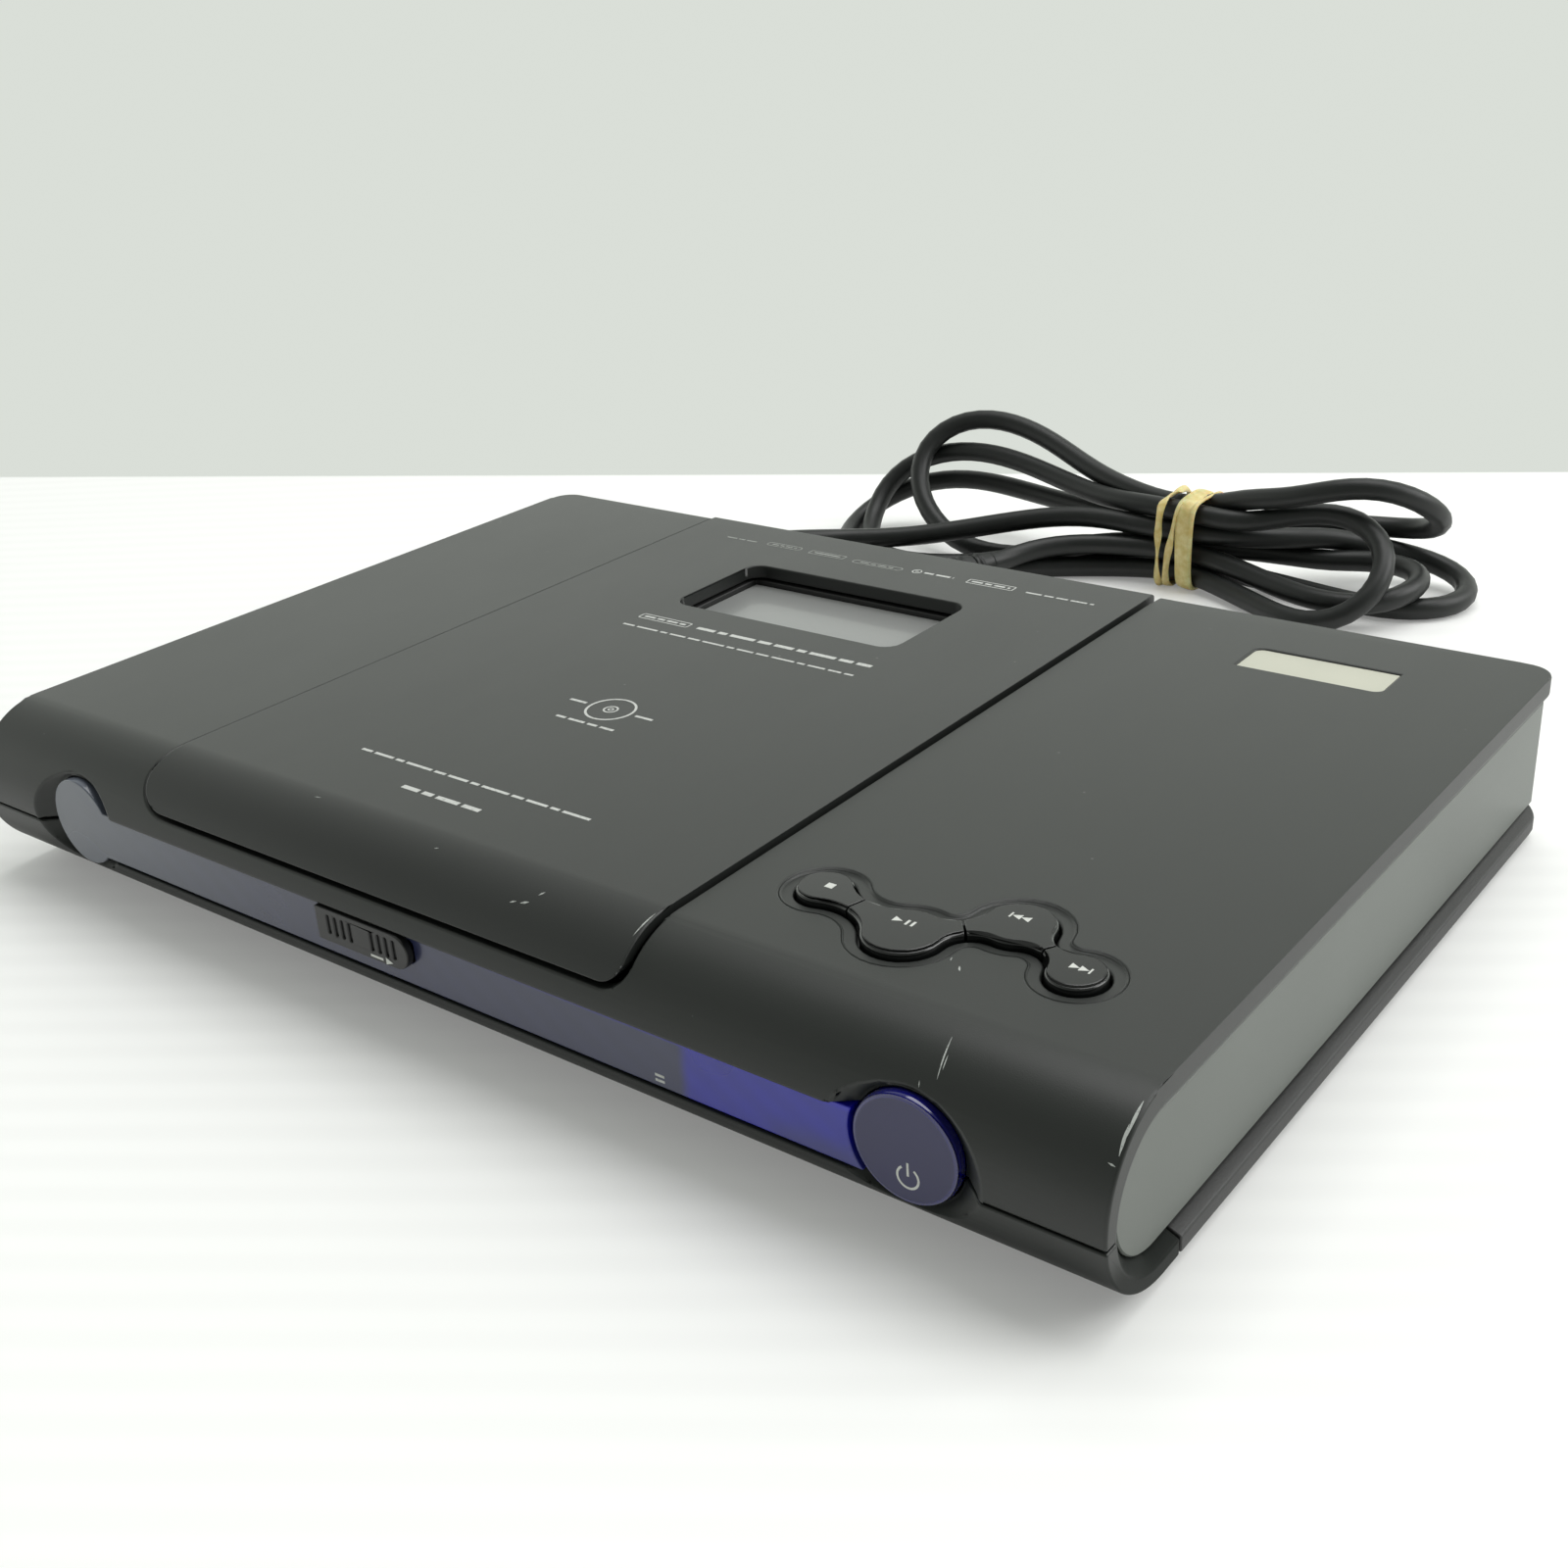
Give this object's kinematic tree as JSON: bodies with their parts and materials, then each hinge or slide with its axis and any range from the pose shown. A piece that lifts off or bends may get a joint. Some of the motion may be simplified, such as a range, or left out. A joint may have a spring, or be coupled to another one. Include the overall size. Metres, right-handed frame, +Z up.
{
  "type": "dvd player",
  "caption": "Slim top-loading disc player with a rounded front, a hinged disc lid with a display window, joined round keys, a front lens strip, rear sockets and a bundled mains lead.",
  "frame": {"origin": "on the table under the middle of the housing, at the height of the feet's undersides", "axes": "+X to the right as seen from the front, +Y from the rounded front to the rear sockets, +Z up"},
  "size_m": [0.28, 0.3194, 0.038],
  "materials": {
    "housing": "satin charcoal ABS with a fine spark-eroded grain",
    "base_black": "matt black ABS",
    "lid_plastic": "satin charcoal ABS with a fine spark-eroded grain",
    "deck_plastic": "matt black ABS",
    "lens_blue": "translucent blue acrylic, polished",
    "plate_metal": "pale champagne anodised, brushed",
    "display_glass": "dark tinted, glossy",
    "display_body": "dark grey",
    "steel": "bright drawn steel",
    "power_indigo": "deep indigo, glossy",
    "key_black": "black, semi-gloss",
    "slider_black": "black, fine grain",
    "turntable_black": "black moulding with a soft seat ring",
    "frame_steel": "zinc-plated sheet",
    "mount_rubber": "soft black rubber",
    "sled_grey": "glass-filled grey",
    "lens_optic": "coated optical lens",
    "board_green": "green solder mask on glass laminate",
    "board_tan": "bare paper laminate",
    "component_black": "moulded component bodies",
    "heat_sink": "mill finish",
    "coil_yellow": "polyester tape over windings and core",
    "socket_metal": "bright nickel",
    "socket_yellow": "yellow",
    "socket_white": "white",
    "socket_red": "red",
    "socket_green": "green",
    "socket_blue": "blue",
    "socket_black": "black",
    "foot_rubber": "black rubber",
    "cord_black": "soft black PVC, satin",
    "band_rubber": "tan natural rubber",
    "blade_brass": "nickel-bright brass"
  },
  "bodies": {
    "housing": {"top_cover": "housing", "front_bezel": "housing", "bottom_cover": "base_black", "rear_panel": "base_black", "front_lens": "lens_blue", "name_plate": "plate_metal", "disc_deck": "deck_plastic", "display_glass": "display_glass", "display_module": "display_body", "hinge_brackets": "base_black", "spindle_motor": "steel", "traverse_frame": "frame_steel", "guide_rods": "steel", "isolation_mounts": "mount_rubber", "sled_motor": "steel", "main_board": "board_green", "board_parts": "component_black", "heat_sink": "heat_sink", "power_board": "board_tan", "transformer": "coil_yellow", "power_parts": "component_black", "key_board": "board_green", "front_board": "board_green", "socket_barrels": "socket_metal", "socket_yellow": "socket_yellow", "socket_white": "socket_white", "socket_red": "socket_red", "socket_green": "socket_green", "socket_blue": "socket_blue", "socket_black": "socket_black", "s_video_socket": "socket_black", "feet": "foot_rubber", "case_screws": "steel", "strain_relief": "cord_black", "mains_cord": "cord_black", "cord_bundle": "cord_black", "rubber_band": "band_rubber", "plug_cord": "cord_black", "plug_body": "cord_black", "plug_blades": "blade_brass"},
    "lid": {"lid": "lid_plastic", "lid_hinge_pins": "steel"},
    "power_button": {"power_button": "power_indigo"},
    "stop_key": {"stop_key": "key_black"},
    "play_key": {"play_key": "key_black"},
    "previous_key": {"previous_key": "key_black"},
    "next_key": {"next_key": "key_black"},
    "release_slider": {"release_slider": "slider_black"},
    "turntable": {"turntable": "turntable_black"},
    "pickup_sled": {"laser_sled": "sled_grey", "laser_lens": "lens_optic"},
    "lead_screw": {"lead_screw": "steel"}
  },
  "joints": [
    {"name": "lid_hinge", "type": "hinge", "parent": "housing", "child": "lid", "pos_m": [0, 0.0922, 0.028], "axis": [-1, 0, 0], "range_deg": [0, 65]},
    {"name": "power_press", "type": "slide", "parent": "housing", "child": "power_button", "axis": [0, 1, 0], "range_m": [0, 0.0012], "stiffness_N_per_m": 300, "springref_m": -0.001},
    {"name": "stop_press", "type": "slide", "parent": "housing", "child": "stop_key", "axis": [0, 0, -1], "range_m": [0, 0.0008], "stiffness_N_per_m": 300, "springref_m": -0.001},
    {"name": "play_press", "type": "slide", "parent": "housing", "child": "play_key", "axis": [0, 0, -1], "range_m": [0, 0.0008], "stiffness_N_per_m": 300, "springref_m": -0.001},
    {"name": "previous_press", "type": "slide", "parent": "housing", "child": "previous_key", "axis": [0, 0, -1], "range_m": [0, 0.0008], "stiffness_N_per_m": 300, "springref_m": -0.001},
    {"name": "next_press", "type": "slide", "parent": "housing", "child": "next_key", "axis": [0, 0, -1], "range_m": [0, 0.0008], "stiffness_N_per_m": 300, "springref_m": -0.001},
    {"name": "release_slide", "type": "slide", "parent": "housing", "child": "release_slider", "axis": [1, 0, 0], "range_m": [0, 0.003], "stiffness_N_per_m": 200, "springref_m": -0.002},
    {"name": "spindle_spin", "type": "hinge", "parent": "housing", "child": "turntable", "pos_m": [-0.0174, -0.0276, 0.0298], "axis": [0, 0, 1], "continuous": true},
    {"name": "sled_slide", "type": "slide", "parent": "housing", "child": "pickup_sled", "axis": [1, 0, 0], "range_m": [0, 0.032]},
    {"name": "lead_screw_turn", "type": "hinge", "parent": "housing", "child": "lead_screw", "pos_m": [0.02, -0.0516, 0.0215], "axis": [1, 0, 0], "continuous": true}
  ],
  "couplings": [
    {"joint": "lead_screw_turn", "follows": "sled_slide", "rad_per_m": 2094.4}
  ]
}
